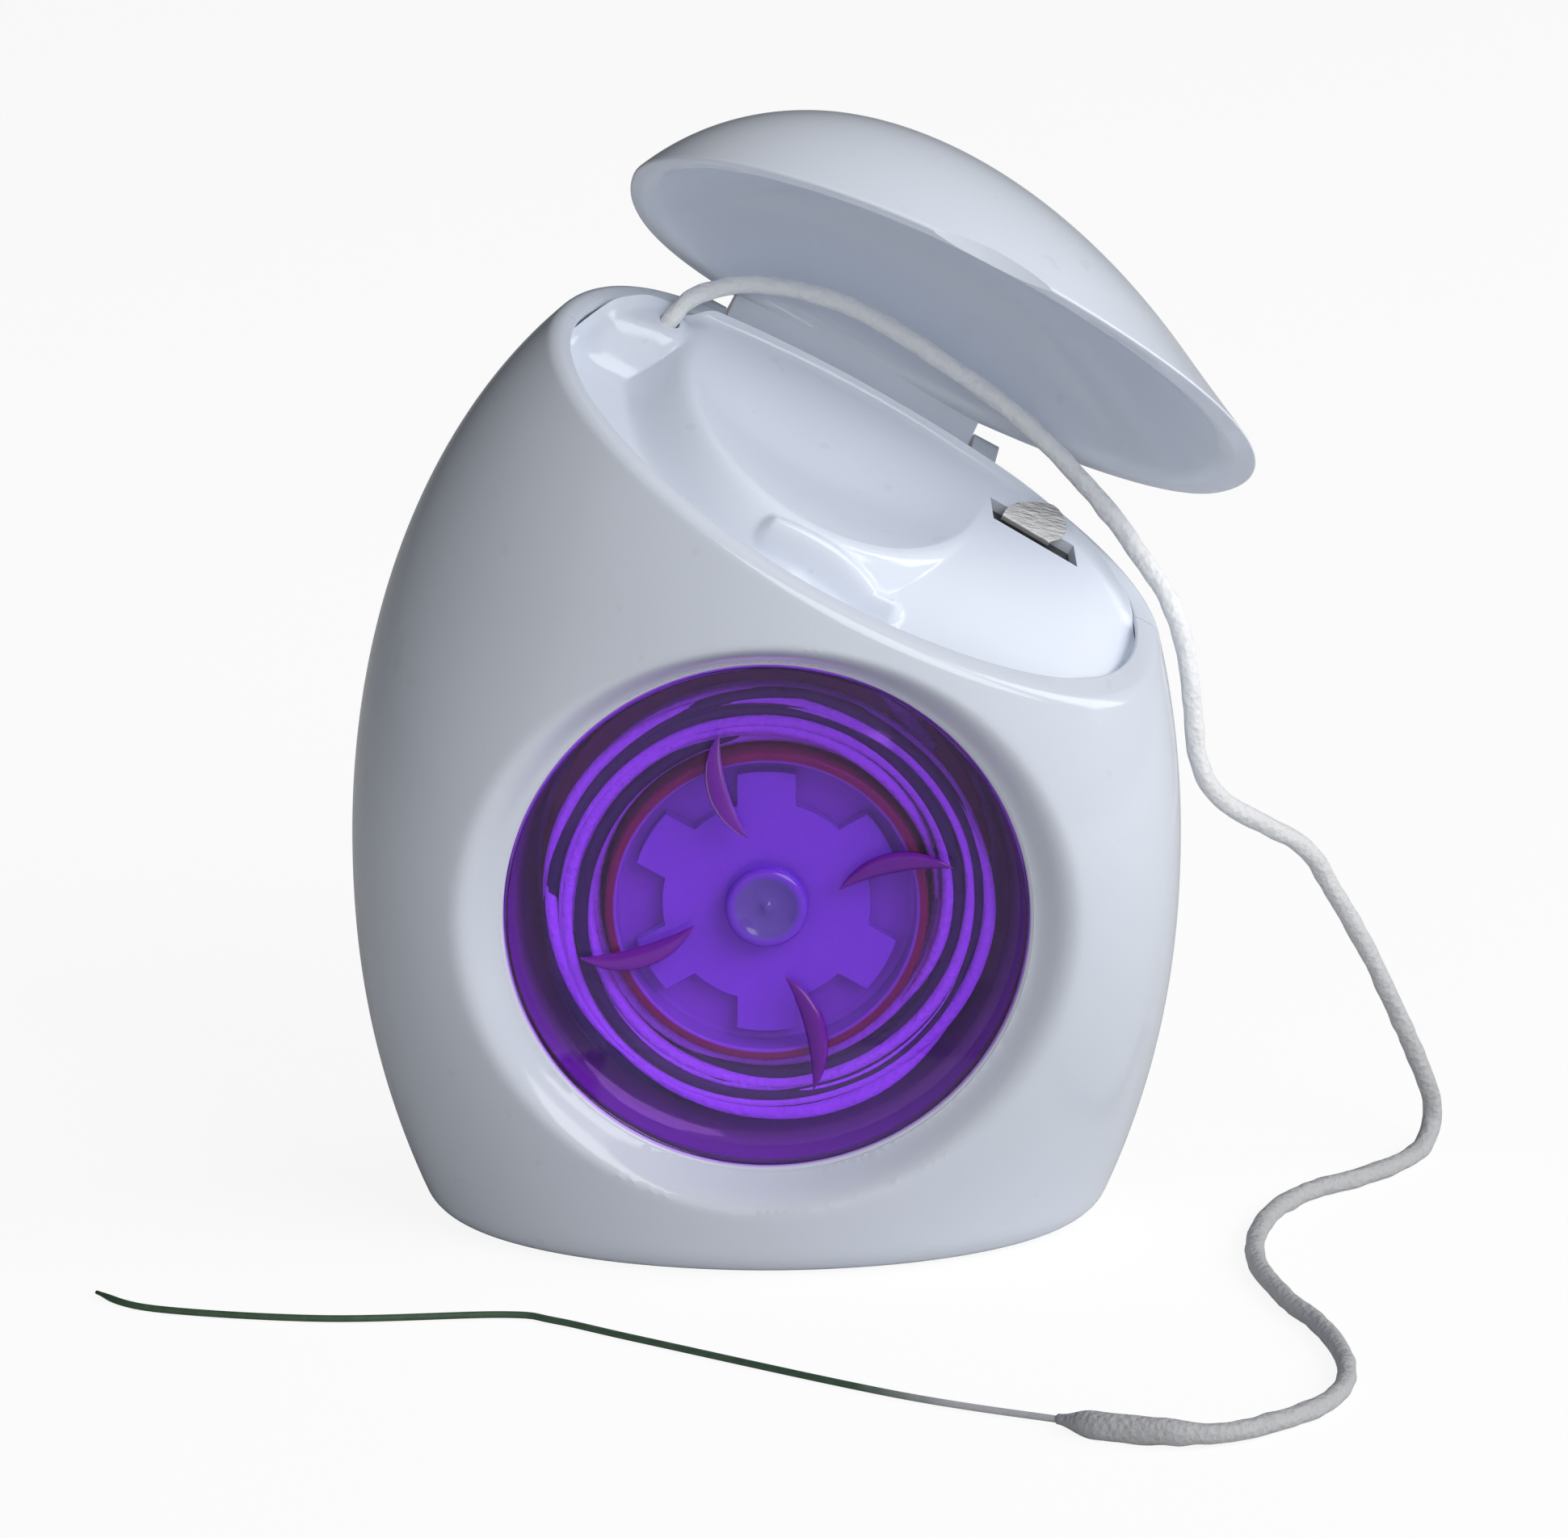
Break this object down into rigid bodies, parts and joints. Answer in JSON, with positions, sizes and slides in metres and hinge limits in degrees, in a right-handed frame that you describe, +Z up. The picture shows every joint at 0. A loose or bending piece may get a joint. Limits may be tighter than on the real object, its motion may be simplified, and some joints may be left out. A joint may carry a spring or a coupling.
{
  "type": "dental floss dispenser",
  "caption": "Egg-shaped floss dispenser on a flat foot: hinged domed lid, slanted mouth with finger pad, exit hole and steel cutter, and a clear round window over the reel.",
  "frame": {"origin": "centre of the flat foot, on the joint between the two shells", "axes": "+Z up from the foot, +Y to the back away from the window, +X to the right of the picture; X=0 is the middle of the body"},
  "size_m": [0.0986, 0.066, 0.0812],
  "materials": {
    "shell": "glossy white moulded plastic",
    "window": "clear violet-tinted plastic",
    "tray": "pale grey moulded plastic",
    "reel": "raspberry moulded plastic",
    "retainer": "pale blue-grey moulded plastic",
    "floss": "spongy white floss",
    "threader": "stiff dark green end",
    "cutter": "bright steel strip",
    "pin": "plain steel wire"
  },
  "bodies": {
    "body": {"front_shell": "shell", "rear_shell": "shell", "window": "window", "cassette_tray": "tray", "reel_retainer": "retainer", "top_deck": "shell", "cutter_blade": "cutter", "hinge_pin": "pin", "floss_strand": "floss", "floss_threader": "threader"},
    "lid": {"lid": "shell"},
    "reel": {"reel": "reel", "floss_winding": "floss"}
  },
  "joints": [
    {"name": "lid_hinge", "type": "hinge", "parent": "body", "child": "lid", "pos_m": [0.00538, 0.01098, 0.05929], "axis": [-0.8771, 0, 0.4802], "range_deg": [-57, 30], "deforming": ["floss_strand"]},
    {"name": "reel_spin", "type": "hinge", "parent": "body", "child": "reel", "pos_m": [0, 0, 0.0266], "axis": [0, 1, 0], "continuous": true}
  ]
}
